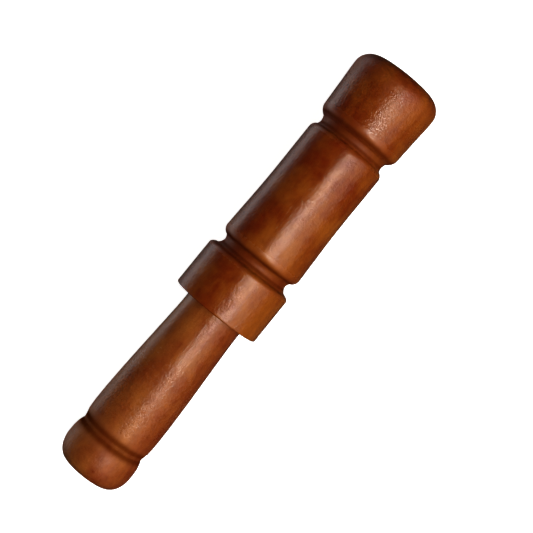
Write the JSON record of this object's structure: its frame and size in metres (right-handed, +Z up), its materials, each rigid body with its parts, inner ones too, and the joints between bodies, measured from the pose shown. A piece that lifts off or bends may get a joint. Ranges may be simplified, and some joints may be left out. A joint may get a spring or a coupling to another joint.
{
  "type": "duck call",
  "caption": "Turned wooden game call: flared barrel with grooves, tapered insert with a knob, tone board, two film reeds and a cork wedge.",
  "frame": {"origin": "on the surface the call lies on, under the middle of its length; the call's axis is 14.6 mm above it", "axes": "+X along the call towards the mouth end, +Z up, +Y across"},
  "size_m": [0.15, 0.0292, 0.0292],
  "materials": {
    "stained_wood": "gloss lacquer",
    "board_plastic": "satin moulded",
    "reed_film": "frosted polyester film",
    "cork": "raw cork",
    "ring_rubber": "matt"
  },
  "bodies": {
    "barrel": {"barrel": "stained_wood"},
    "seal_rings": {"rear_o_ring": "ring_rubber", "front_o_ring": "ring_rubber"},
    "insert": {"insert_body": "stained_wood", "tone_board": "board_plastic", "cork_wedge": "cork"},
    "long_reed": {"long_reed": "reed_film"},
    "short_reed": {"short_reed": "reed_film"}
  },
  "joints": [
    {"name": "insert_pull", "type": "slide", "parent": "barrel", "child": "seal_rings", "axis": [-1, 0, 0], "range_m": [0, 0.066]},
    {"name": "insert_twist", "type": "hinge", "parent": "seal_rings", "child": "insert", "pos_m": [0, 0, 0.0146], "axis": [1, 0, 0], "continuous": true},
    {"name": "long_reed_flex", "type": "hinge", "parent": "insert", "child": "long_reed", "pos_m": [0.01497, 0, 0.01641], "axis": [0, 1, 0], "range_deg": [0, 2], "stiffness_Nm_per_rad": 0.0067, "deforming": ["long_reed"]},
    {"name": "short_reed_flex", "type": "hinge", "parent": "insert", "child": "short_reed", "pos_m": [0.01497, 0, 0.01667], "axis": [0, 1, 0], "range_deg": [0, 2], "stiffness_Nm_per_rad": 0.0067, "deforming": ["short_reed"]}
  ],
  "couplings": [
    {"joint": "short_reed_flex", "follows": "long_reed_flex", "ratio": 1}
  ]
}
